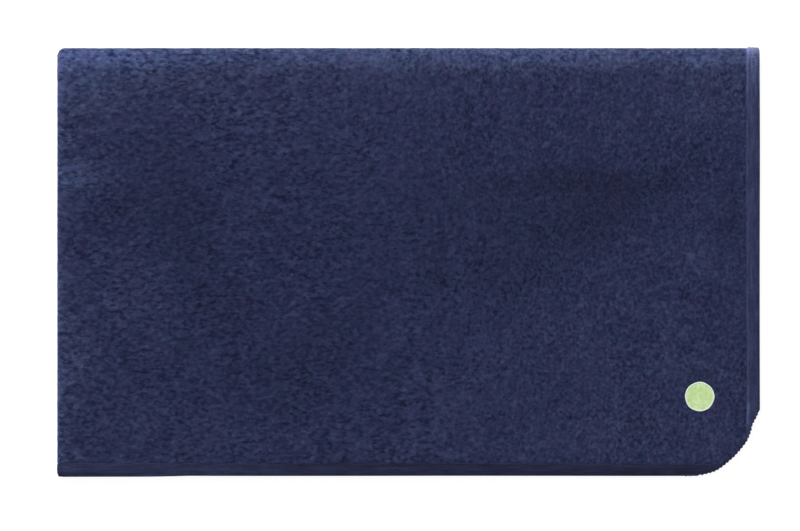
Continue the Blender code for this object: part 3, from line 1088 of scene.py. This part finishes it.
def make_fray():
    """Short loose fibres where the frayed side hem bends over the back edge."""
    count, steps, sides = 260, 6, 4
    rng = np.random.default_rng(83)
    around = np.linspace(0, 2 * math.pi, sides, endpoint=False)
    points = []
    for _ in range(count):
        x = rng.uniform(SEAM_X + 1.1 * MM, RIGHT - 0.2 * MM)
        y = BACK + 0.4 * MM - rng.exponential(3.2 * MM)
        heading = rng.normal(math.pi / 2, 0.9)
        curl = rng.normal(0, 0.5)
        length = rng.uniform(1.2, 3.0) * MM
        hump = rng.uniform(0.1, 0.5) * MM
        for share in np.linspace(0, 1, steps):
            size = 0.11 * MM * (1 - 0.5 * share)
            height = over_back_edge(y) - 0.3 * MM + hump * math.sin(math.pi * share)
            ring_x = x + size * np.cos(around) * abs(math.sin(heading))
            ring_y = y + size * np.cos(around) * abs(math.cos(heading))
            points.append(np.stack([ring_x, ring_y, height + size * np.sin(around)], axis=-1))
            heading += curl
            x += length / (steps - 1) * math.cos(heading)
            y += length / (steps - 1) * math.sin(heading)
    faces = repeated(capped(steps, sides), count, steps * sides)
    piece = add_mesh("side_hem_fray", np.concatenate(points), faces, "fray")
    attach(piece, "top_panel")
    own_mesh(piece)


# ---- label

LABEL_SURFACE = STACK_TOP - 0.55 * MM
LABEL_RIM = LABEL_RADIUS - 1.0 * MM


def round_label(radii, angles, heights):
    """Points over the label's middle, from rows of radii and heights at each angle."""
    x = LABEL_X + radii * np.cos(angles)
    y = LABEL_Y + radii * np.sin(angles)
    return np.stack(np.broadcast_arrays(x, y, heights), axis=-1).reshape(-1, 3)


def make_label_disc():
    """A slightly domed woven disc: a middle point, rings round it, and the edge sunk into the pile."""
    rings, spokes, dome = 26, 96, 0.25 * MM
    radius = LABEL_RIM - 0.5 * MM
    angles = 2 * math.pi * np.arange(spokes) / spokes
    share = np.arange(1, rings + 1)[:, None] / rings
    ripple = 0.05 * MM * np.sin(5 * angles + 1.3) * share**2
    face = round_label(radius * share, angles, LABEL_SURFACE + dome * (1 - share**2) + ripple)
    edge = round_label(radius, angles, LABEL_SURFACE - 0.6 * MM)
    points = np.concatenate([[(LABEL_X, LABEL_Y, LABEL_SURFACE + dome)], face, edge])
    faces = [[0, 1 + s, 1 + (s + 1) % spokes] for s in range(spokes)]
    faces += (1 + quads(rings + 1, spokes, wrap=True)[:, [0, 3, 2, 1]]).tolist()
    faces.append([1 + rings * spokes + s for s in range(spokes)][::-1])
    disc = add_mesh("round_label", points, faces, "label")
    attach(disc, "top_panel")
    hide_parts("label_disc")
    return disc


def make_label_rim():
    """Close stitches all round the label's edge, sewn a little unevenly."""
    stitches, half_width, half_height = 110, 0.82 * MM, 0.42 * MM
    steps = stitches * 6
    angles = np.linspace(0, 2 * math.pi, steps, endpoint=False)[:, None]
    around = np.linspace(0, 2 * math.pi, 11)[:-1]
    swell = 0.82 + 0.18 * np.abs(np.sin(angles * stitches / 2)) ** 0.6
    sewn = (0.11 * np.sin(5 * angles + 0.7) + 0.09 * np.sin(8 * angles + 2.0)) * MM
    radii = LABEL_RIM - half_width + sewn + (0.5 + 0.5 * swell) * half_width * np.cos(around)
    heights = LABEL_SURFACE - 0.05 * MM + swell * half_height * np.sin(around)
    # the row after the last one is the first
    faces = quads(steps + 1, len(around), wrap=True) % (steps * len(around))
    rim = add_mesh("label_rim_stitches", round_label(radii, angles, heights), faces.tolist(), "label_thread")
    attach(rim, "top_panel")
    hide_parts("label_thread")
    return rim


# ---- the towel

def make_towel():
    piles = [pile_field(100 + 10 * layer) for layer in range(4)]
    naps = [nap_field(200), nap_field(210), nap_field(220), nap_field(230, TOP_NAP_AND_HIGHLIGHTS)]
    plain_nap = nap_field(240)
    for layer in range(4):
        face_spacing = TOP_SPACING if layer == TOP_LAYER else SPACING
        face = make_skin(layer, 1, face_spacing, piles[layer], naps[layer])
        back = make_skin(layer, -1, SPACING, piles[layer], plain_nap)
        edges = [back, make_hem(layer, "side"), make_hem(layer, "end"), make_corner_edging(layer)]
        edges += [make_stitches(layer, "side"), make_stitches(layer, "end")]
        if layer == TOP_LAYER:
            edges += [make_label_disc(), make_label_rim()]
    make_outer_wraps(piles[TOP_LAYER], naps[TOP_LAYER])
    make_inner_wrap(piles[1], naps[1])
    make_left_folds(piles, naps)
    make_fray()


# ---- floor, light and camera

def make_floor():
    bpy.ops.mesh.primitive_plane_add(size=24.0, location=(0, 0, 0))
    floor = bpy.context.object
    floor.name = "floor"
    material, _, shader = new_material("floor_white", 0.9)
    shader.inputs["Base Color"].default_value = (0.32, 0.32, 0.32, 1)
    shader.inputs["Emission Color"].default_value = (1, 1, 1, 1)
    shader.inputs["Emission Strength"].default_value = 0.84
    floor.data.materials.append(material)


def area_light(name, location, size, power):
    """A square lamp that shines at the towel's middle."""
    data = bpy.data.lights.new(name, "AREA")
    data.shape = "SQUARE"
    data.size = size
    data.energy = power
    lamp = bpy.data.objects.new(name, data)
    lamp.location = location
    lamp.rotation_euler = (-Vector(location)).to_track_quat("-Z", "Y").to_euler()
    bpy.context.scene.collection.objects.link(lamp)


def make_light():
    world = bpy.data.worlds.new("studio")
    world.use_nodes = True
    background = world.node_tree.nodes["Background"]
    background.inputs["Color"].default_value = (1, 1, 1, 1)
    background.inputs["Strength"].default_value = 0.55
    bpy.context.scene.world = world
    area_light("key_back_left", (-0.9, 2.4, 1.8), 1.5, 100.0)
    area_light("fill_front_right", (1.6, -2.0, 0.7), 1.4, 9.0)
    bpy.context.scene.view_settings.view_transform = "Standard"


def make_camera():
    """Straight above, far off, with the towel a little right of and above the middle of the frame."""
    data = bpy.data.cameras.new("camera")
    height = 3.0
    seen_width = 0.8547
    data.sensor_width = 36.0
    data.lens = data.sensor_width * height / seen_width
    camera = bpy.data.objects.new("camera", data)
    camera.location = (-8.65 * MM, -4.1 * MM, height + 0.8 * STACK_TOP)
    bpy.context.scene.collection.objects.link(camera)
    bpy.context.scene.camera = camera


make_floor()
make_towel()
make_light()
make_camera()
